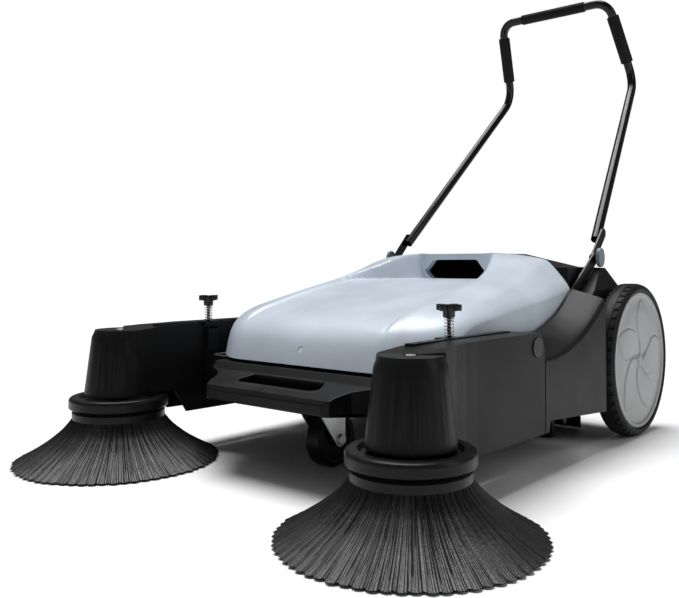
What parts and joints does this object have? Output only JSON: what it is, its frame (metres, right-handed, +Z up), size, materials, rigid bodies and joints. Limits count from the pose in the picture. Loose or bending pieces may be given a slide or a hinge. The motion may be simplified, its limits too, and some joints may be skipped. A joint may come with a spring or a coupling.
{
  "type": "walk-behind push sweeper",
  "caption": "Hand-pushed floor sweeper: driven side brushes on hinged arms, enclosed main roller, hopper under a lift-off hood, large rear wheels, front caster and folding handle.",
  "frame": {"origin": "on the floor below the middle of the machine's bounding box", "axes": "+Z up; +Y towards the operator at the rear, so the machine is pushed towards -Y; X across the machine, parallel to the wheel axle"},
  "size_m": [1.05, 1.4181, 1.0685],
  "materials": {
    "hood_plastic": "satin blue-grey moulding",
    "black_moulding": "fine-grained black moulding",
    "panel_moulding": "dark grey fine-grained moulding",
    "bin_moulding": "dark grey moulding, scuffed inside",
    "black_tube": "gloss black powder coat",
    "black_bracket": "semi-gloss black powder coat",
    "zinc_steel": "bright zinc plating",
    "machined_steel": "machined, lightly oiled",
    "bearing_steel": "ground and polished",
    "spring_steel": "bright drawn wire",
    "galvanised_sheet": "galvanised sheet",
    "belt_rubber": "moulded rubber, dusty",
    "flap_rubber": "sheet rubber",
    "tyre_rubber": "tread rubber, worn on the crown",
    "caster_rubber": "solid rubber",
    "wheel_disc": "grey moulding",
    "rim_moulding": "dark grey moulding",
    "pulley_moulding": "glass-filled moulding",
    "bristle_nylon": "stiff filament, dull",
    "brush_block": "semi-gloss moulding",
    "grip_foam": "closed-cell foam",
    "knob_moulding": "semi-gloss moulding",
    "clamp_moulding": "blue-grey moulding",
    "button_moulding": "polished"
  },
  "bodies": {
    "frame": {"chassis": "black_moulding", "rear_housing": "black_moulding", "side_fenders": "panel_moulding", "bumper_handle": "black_moulding", "brush_tunnel": "galvanised_sheet", "rear_flap": "flap_rubber", "flap_strip": "galvanised_sheet", "roller_bearings": "bearing_steel", "roller_belt": "belt_rubber", "wheel_belts": "belt_rubber", "wheel_axle": "machined_steel", "arm_pivot_pins": "black_bracket", "caster_plate": "zinc_steel", "handle_brackets": "black_bracket", "bracket_bolts": "zinc_steel", "adjuster_spring_left": "spring_steel", "adjuster_spring_right": "spring_steel"},
    "hood_unit": {"hood": "hood_plastic", "hopper_bin": "bin_moulding"},
    "catch_button": {"hood_button": "button_moulding"},
    "roller": {"roller_core": "machined_steel", "roller_bristles": "bristle_nylon", "roller_pulley": "pulley_moulding"},
    "caster_swivel": {"caster_fork": "zinc_steel", "caster_bolt": "zinc_steel"},
    "caster_roll": {"caster_wheel": "caster_rubber"},
    "handle": {"handle_tube": "black_tube", "handle_grips": "grip_foam"},
    "arm_left": {"side_arm_left": "black_moulding", "arm_belt_left": "belt_rubber", "spindle_bearings_left": "bearing_steel", "tower_bolt_left": "zinc_steel"},
    "transfer_pulley_left": {"pivot_pulley_left": "pulley_moulding"},
    "cross_shaft_left": {"pinion_shaft_left": "machined_steel"},
    "side_brush_left": {"geared_spindle_left": "machined_steel", "brush_plate_left": "brush_block", "bristle_ring_left": "brush_block", "side_bristles_left": "bristle_nylon"},
    "adjuster_left": {"adjuster_knob_left": "knob_moulding"},
    "wheel_left": {"tyre_left": "tyre_rubber", "wheel_rim_left": "rim_moulding", "hubcap_left": "wheel_disc", "drive_pulleys_left": "pulley_moulding"},
    "clamp_left": {"clamp_knob_left": "clamp_moulding"},
    "arm_right": {"side_arm_right": "black_moulding", "arm_belt_right": "belt_rubber", "spindle_bearings_right": "bearing_steel", "tower_bolt_right": "zinc_steel"},
    "transfer_pulley_right": {"pivot_pulley_right": "pulley_moulding"},
    "cross_shaft_right": {"pinion_shaft_right": "machined_steel"},
    "side_brush_right": {"geared_spindle_right": "machined_steel", "brush_plate_right": "brush_block", "bristle_ring_right": "brush_block", "side_bristles_right": "bristle_nylon"},
    "adjuster_right": {"adjuster_knob_right": "knob_moulding"},
    "wheel_right": {"tyre_right": "tyre_rubber", "wheel_rim_right": "rim_moulding", "hubcap_right": "wheel_disc", "drive_pulleys_right": "pulley_moulding"},
    "clamp_right": {"clamp_knob_right": "clamp_moulding"}
  },
  "joints": [
    {"name": "wheel_left_spin", "type": "hinge", "parent": "frame", "child": "wheel_left", "pos_m": [-0.329, 0.287, 0.161], "axis": [1, 0, 0], "continuous": true},
    {"name": "arm_left_lift", "type": "hinge", "parent": "frame", "child": "arm_left", "pos_m": [-0.31, -0.179, 0.224], "axis": [-1, 0, 0], "range_deg": [0, 3], "stiffness_Nm_per_rad": 60, "springref_deg": -171.89, "deforming": ["adjuster_spring_left"]},
    {"name": "transfer_pulley_left_spin", "type": "hinge", "parent": "frame", "child": "transfer_pulley_left", "pos_m": [-0.293, -0.179, 0.224], "axis": [1, 0, 0], "continuous": true},
    {"name": "cross_shaft_left_spin", "type": "hinge", "parent": "arm_left", "child": "cross_shaft_left", "pos_m": [-0.3, -0.528, 0.205], "axis": [1, 0, 0], "continuous": true},
    {"name": "side_brush_left_spin", "type": "hinge", "parent": "arm_left", "child": "side_brush_left", "pos_m": [-0.337, -0.528, 0.1], "axis": [0, 0, 1], "continuous": true},
    {"name": "adjuster_left_turn", "type": "hinge", "parent": "frame", "child": "adjuster_left", "pos_m": [-0.287, -0.359, 0.29], "axis": [0, 0, 1], "range_deg": [-180, 180]},
    {"name": "wheel_right_spin", "type": "hinge", "parent": "frame", "child": "wheel_right", "pos_m": [0.329, 0.287, 0.161], "axis": [1, 0, 0], "continuous": true},
    {"name": "arm_right_lift", "type": "hinge", "parent": "frame", "child": "arm_right", "pos_m": [0.31, -0.179, 0.224], "axis": [-1, 0, 0], "range_deg": [0, 3], "stiffness_Nm_per_rad": 60, "springref_deg": -171.89, "deforming": ["adjuster_spring_right"]},
    {"name": "transfer_pulley_right_spin", "type": "hinge", "parent": "frame", "child": "transfer_pulley_right", "pos_m": [0.293, -0.179, 0.224], "axis": [1, 0, 0], "continuous": true},
    {"name": "cross_shaft_right_spin", "type": "hinge", "parent": "arm_right", "child": "cross_shaft_right", "pos_m": [0.3, -0.528, 0.205], "axis": [1, 0, 0], "continuous": true},
    {"name": "side_brush_right_spin", "type": "hinge", "parent": "arm_right", "child": "side_brush_right", "pos_m": [0.337, -0.528, 0.1], "axis": [0, 0, 1], "continuous": true},
    {"name": "adjuster_right_turn", "type": "hinge", "parent": "frame", "child": "adjuster_right", "pos_m": [0.287, -0.359, 0.29], "axis": [0, 0, 1], "range_deg": [-180, 180]},
    {"name": "roller_spin", "type": "hinge", "parent": "frame", "child": "roller", "pos_m": [0, 0.144, 0.107], "axis": [1, 0, 0], "continuous": true},
    {"name": "caster_swivel_turn", "type": "hinge", "parent": "frame", "child": "caster_swivel", "pos_m": [0, -0.341, 0.106], "axis": [0, 0, 1], "continuous": true},
    {"name": "caster_wheel_spin", "type": "hinge", "parent": "caster_swivel", "child": "caster_roll", "pos_m": [0, -0.313, 0.05], "axis": [1, 0, 0], "continuous": true},
    {"name": "handle_fold", "type": "hinge", "parent": "frame", "child": "handle", "pos_m": [0, 0.236, 0.378], "axis": [-1, 0, 0], "range_deg": [-120, 12]},
    {"name": "hood_lift", "type": "slide", "parent": "frame", "child": "hood_unit", "axis": [0, 0, 1], "range_m": [0, 0.12]},
    {"name": "catch_button_press", "type": "slide", "parent": "hood_unit", "child": "catch_button", "axis": [0, 0.9613, -0.2756], "range_m": [0, 0.003], "stiffness_N_per_m": 400, "springref_m": -0.002},
    {"name": "clamp_left_turn", "type": "hinge", "parent": "handle", "child": "clamp_left", "pos_m": [-0.27, 0.236, 0.378], "axis": [1, 0, 0], "range_deg": [-180, 180]},
    {"name": "clamp_right_turn", "type": "hinge", "parent": "handle", "child": "clamp_right", "pos_m": [0.27, 0.236, 0.378], "axis": [1, 0, 0], "range_deg": [-180, 180]}
  ],
  "couplings": [
    {"joint": "transfer_pulley_left_spin", "follows": "wheel_left_spin", "ratio": 1.5},
    {"joint": "cross_shaft_left_spin", "follows": "wheel_left_spin", "ratio": 1.5},
    {"joint": "side_brush_left_spin", "follows": "wheel_left_spin", "ratio": 1.5},
    {"joint": "transfer_pulley_right_spin", "follows": "wheel_right_spin", "ratio": 1.5},
    {"joint": "cross_shaft_right_spin", "follows": "wheel_right_spin", "ratio": 1.5},
    {"joint": "side_brush_right_spin", "follows": "wheel_right_spin", "ratio": -1.5},
    {"joint": "roller_spin", "follows": "wheel_left_spin", "ratio": 2}
  ]
}
